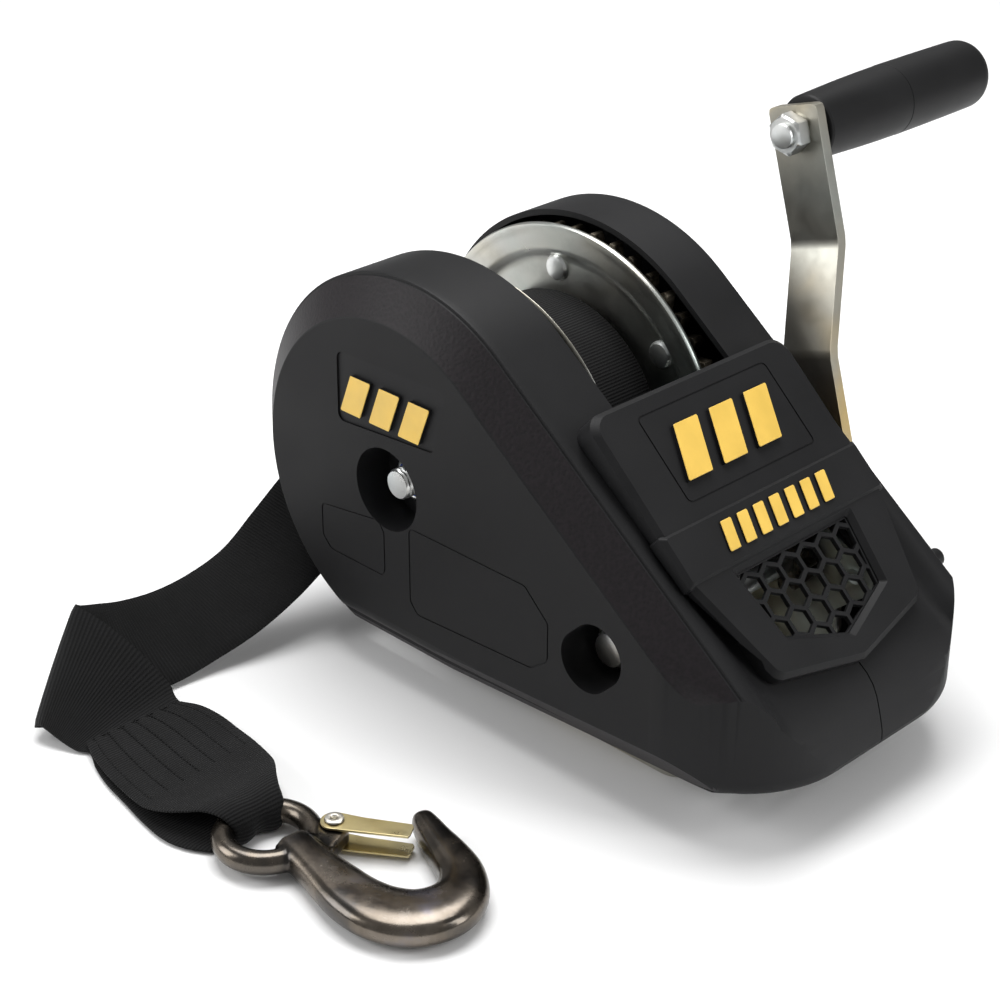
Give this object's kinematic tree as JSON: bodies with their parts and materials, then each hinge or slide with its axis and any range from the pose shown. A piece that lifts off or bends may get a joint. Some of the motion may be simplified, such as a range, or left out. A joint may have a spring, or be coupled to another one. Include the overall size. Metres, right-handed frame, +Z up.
{
  "type": "boat trailer winch",
  "caption": "Hand-cranked boat trailer winch: geared strap drum between two plastic covers, reversible ratchet, crank with grip, webbing strap and snap hook.",
  "frame": {"origin": "underside of the base plate, midway between the front and rear mounting slots, on the plane where the two cover halves meet", "axes": "+X towards the nose, +Y towards the crank side, +Z up"},
  "size_m": [0.3443, 0.501, 0.2688],
  "materials": {
    "black_plastic": "fine grained mould texture",
    "gold_paint": "satin gold paint on raised bars",
    "grip_rubber": "satin",
    "lever_black": "satin",
    "zinc_plate": "bright zinc plate, slightly yellow",
    "zinc_fastener": "bright zinc plate",
    "nylon_blue": "nylon locking ring",
    "greased_steel": "oiled",
    "bronze": "sintered bronze",
    "webbing": "ribbed woven polyester",
    "hook_steel": "dark iridescent zinc over forged steel",
    "latch_brass": "yellow zinc pressed sheet"
  },
  "bodies": {
    "frame": {"base_plate": "zinc_plate", "left_side_plate": "zinc_plate", "right_side_plate": "zinc_plate", "left_cover": "black_plastic", "right_cover": "black_plastic", "front_bezel": "black_plastic", "bezel_mesh": "black_plastic", "front_badge": "gold_paint", "band_badge": "gold_paint", "side_badge": "gold_paint", "drum_bolt": "zinc_fastener", "drum_nut": "zinc_fastener", "drum_nut_insert": "nylon_blue", "drum_washers": "zinc_fastener", "drum_spacers": "zinc_fastener", "crank_bushes": "bronze", "countershaft_bushes": "bronze", "pawl_pin": "zinc_fastener", "pawl_clip": "zinc_fastener", "pawl_spring": "zinc_fastener", "cover_screws": "zinc_fastener", "strap": "webbing", "strap_end": "webbing", "hook_body": "hook_steel", "latch_pin": "zinc_fastener", "latch_spring": "zinc_fastener"},
    "drum": {"drum_hub": "zinc_plate", "left_flange": "zinc_plate", "right_flange": "zinc_plate", "drum_gear": "greased_steel", "drum_rivets": "zinc_fastener", "drum_bushes": "bronze", "strap_roll": "webbing", "strap_anchor": "zinc_fastener"},
    "countershaft": {"countershaft": "zinc_fastener", "counter_gear": "greased_steel", "counter_pinion": "greased_steel", "counter_clips": "zinc_fastener"},
    "crank": {"crank_shaft": "zinc_fastener", "crank_pinion": "greased_steel", "ratchet_wheel": "greased_steel", "crank_spacer": "zinc_fastener", "crank_arm": "zinc_plate", "crank_nut": "zinc_fastener", "crank_washer": "zinc_fastener", "shaft_lock_nut": "zinc_fastener", "grip_bolt": "zinc_fastener", "grip_nut": "zinc_fastener"},
    "grip": {"grip": "grip_rubber", "grip_cap": "grip_rubber"},
    "pawl": {"pawl": "greased_steel", "pawl_lever": "zinc_fastener", "lever_cap": "lever_black"},
    "latch": {"latch_gate": "latch_brass"}
  },
  "joints": [
    {"name": "drum_spin", "type": "hinge", "parent": "frame", "child": "drum", "pos_m": [-0.07, 0, 0.106], "axis": [0, 1, 0], "continuous": true},
    {"name": "counter_spin", "type": "hinge", "parent": "frame", "child": "countershaft", "pos_m": [0.04199, 0, 0.10476], "axis": [0, 1, 0], "continuous": true},
    {"name": "crank_spin", "type": "hinge", "parent": "frame", "child": "crank", "pos_m": [0.057, 0, 0.065], "axis": [0, 1, 0], "continuous": true},
    {"name": "grip_spin", "type": "hinge", "parent": "crank", "child": "grip", "pos_m": [0.00125, 0.115, 0.25082], "axis": [0, 1, 0], "continuous": true},
    {"name": "pawl_swing", "type": "hinge", "parent": "frame", "child": "pawl", "pos_m": [0.094, 0, 0.066], "axis": [0, 1, 0], "range_deg": [-14, 14]},
    {"name": "latch_swing", "type": "hinge", "parent": "frame", "child": "latch", "pos_m": [0.013, -0.198, 0.008], "axis": [0, 0, -1], "range_deg": [0, 36], "stiffness_Nm_per_rad": 0.05, "springref_deg": -17.19}
  ],
  "couplings": [
    {"joint": "counter_spin", "follows": "drum_spin", "ratio": -4.6},
    {"joint": "crank_spin", "follows": "drum_spin", "ratio": 8.4333}
  ]
}
